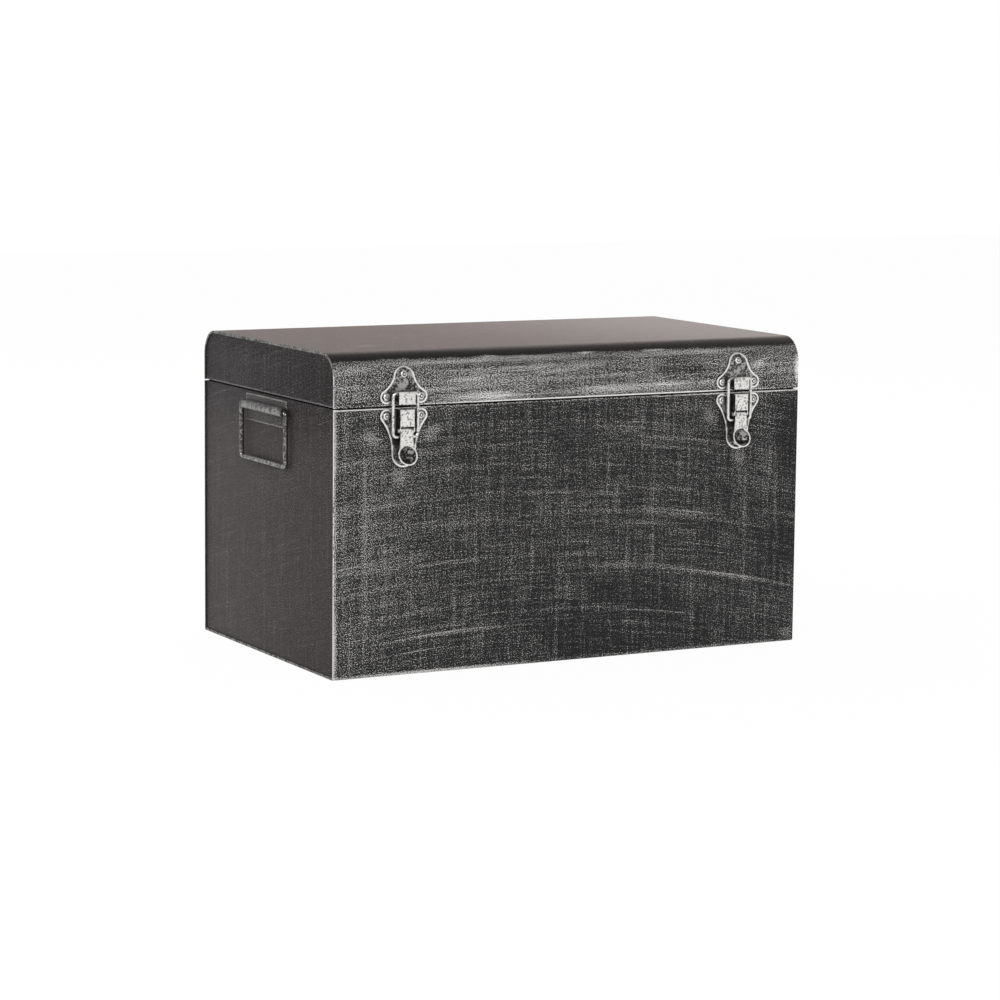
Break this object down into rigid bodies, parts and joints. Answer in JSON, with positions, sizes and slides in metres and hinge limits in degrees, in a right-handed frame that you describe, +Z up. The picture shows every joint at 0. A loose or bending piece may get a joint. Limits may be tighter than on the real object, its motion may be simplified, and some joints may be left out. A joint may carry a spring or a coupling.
{
  "type": "tin trunk",
  "caption": "Small sheet-metal trunk with a rounded-edge hinged lid, front draw latches and swinging wire end handles, in worn black-silver finish.",
  "frame": {"origin": "middle of the trunk's base, on the surface it stands on", "axes": "+X along the length to the right, +Y to the back, +Z up; the latches face -Y"},
  "size_m": [0.5152, 0.3199, 0.3],
  "materials": {
    "wrap_sheet": "black with brushed silver wear",
    "end_sheet": "smooth warm charcoal, lightly brushed",
    "inner_sheet": "plain charcoal",
    "hinge_steel": "blackened, worn at the edges",
    "latch_plate": "antiqued dark with bright rims",
    "latch_bright": "antique silver, hammered",
    "rivet_steel": "bright, worn",
    "handle_steel": "antique silver over black"
  },
  "bodies": {
    "body": {"body_wrap": "wrap_sheet", "body_end_left": "end_sheet", "body_end_right": "end_sheet", "body_collar": "inner_sheet", "hinge_body_leaf_left": "hinge_steel", "hinge_body_leaf_right": "hinge_steel", "hinge_pin_left": "hinge_steel", "hinge_pin_right": "hinge_steel", "hinge_body_rivets": "rivet_steel", "latch_base_left": "latch_plate", "latch_base_right": "latch_plate", "base_rivets_left": "rivet_steel", "base_rivets_right": "rivet_steel", "lever_pin_left": "rivet_steel", "lever_pin_right": "rivet_steel", "handle_strap_left": "handle_steel", "handle_strap_right": "handle_steel"},
    "lid": {"lid_wrap": "wrap_sheet", "lid_end_left": "end_sheet", "lid_end_right": "end_sheet", "hinge_lid_leaf_left": "hinge_steel", "hinge_lid_leaf_right": "hinge_steel", "hinge_lid_rivets": "rivet_steel", "latch_keeper_left": "latch_plate", "latch_keeper_right": "latch_plate", "keeper_rivets_left": "rivet_steel", "keeper_rivets_right": "rivet_steel"},
    "lever_left": {"latch_lever_left": "latch_bright"},
    "lever_right": {"latch_lever_right": "latch_bright"},
    "loop_left": {"latch_loop_left": "latch_bright"},
    "loop_right": {"latch_loop_right": "latch_bright"},
    "bail_left": {"handle_bail_left": "handle_steel"},
    "bail_right": {"handle_bail_right": "handle_steel"}
  },
  "joints": [
    {"name": "lid_hinge", "type": "hinge", "parent": "body", "child": "lid", "pos_m": [0, 0.1533, 0.25], "axis": [-1, 0, 0], "range_deg": [0, 180]},
    {"name": "lever_left_turn", "type": "hinge", "parent": "body", "child": "lever_left", "pos_m": [-0.18, -0.1553, 0.2286], "axis": [-1, 0, 0], "range_deg": [0, 90]},
    {"name": "loop_left_turn", "type": "hinge", "parent": "lever_left", "child": "loop_left", "pos_m": [-0.18, -0.1543, 0.2226], "axis": [1, 0, 0], "range_deg": [0, 78.75]},
    {"name": "lever_right_turn", "type": "hinge", "parent": "body", "child": "lever_right", "pos_m": [0.18, -0.1553, 0.2286], "axis": [-1, 0, 0], "range_deg": [0, 90]},
    {"name": "loop_right_turn", "type": "hinge", "parent": "lever_right", "child": "loop_right", "pos_m": [0.18, -0.1543, 0.2226], "axis": [1, 0, 0], "range_deg": [0, 78.75]},
    {"name": "bail_left_swing", "type": "hinge", "parent": "body", "child": "bail_left", "pos_m": [-0.2533, 0, 0.2367], "axis": [0, 1, 0], "range_deg": [0, 180]},
    {"name": "bail_right_swing", "type": "hinge", "parent": "body", "child": "bail_right", "pos_m": [0.2533, 0, 0.2367], "axis": [0, -1, 0], "range_deg": [0, 180]}
  ],
  "couplings": [
    {"joint": "loop_left_turn", "follows": "lever_left_turn", "ratio": 0.875},
    {"joint": "loop_right_turn", "follows": "lever_right_turn", "ratio": 0.875}
  ]
}
